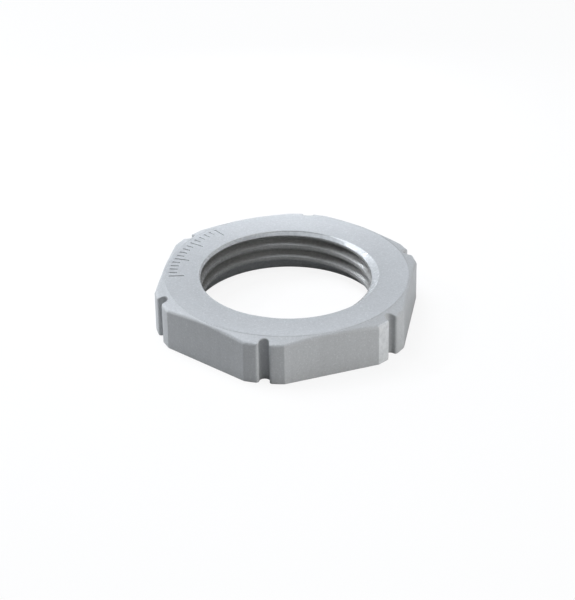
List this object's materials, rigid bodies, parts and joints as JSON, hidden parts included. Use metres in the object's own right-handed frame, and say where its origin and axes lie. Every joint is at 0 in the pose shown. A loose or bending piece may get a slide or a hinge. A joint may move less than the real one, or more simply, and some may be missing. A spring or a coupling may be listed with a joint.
{
  "type": "cable gland locknut",
  "caption": "Flat moulded hexagon locknut with turned, slotted corners, a shallow top chamfer and a metric fine thread.",
  "frame": {"origin": "centre of the thread's axis on the underside", "axes": "+Z along the thread's axis towards the chamfered top face, +X square to one flat"},
  "size_m": [0.027, 0.029, 0.0051],
  "materials": {
    "moulded_grey": "fine moulded satin"
  },
  "bodies": {
    "root": {"locknut": "moulded_grey"}
  },
  "joints": []
}
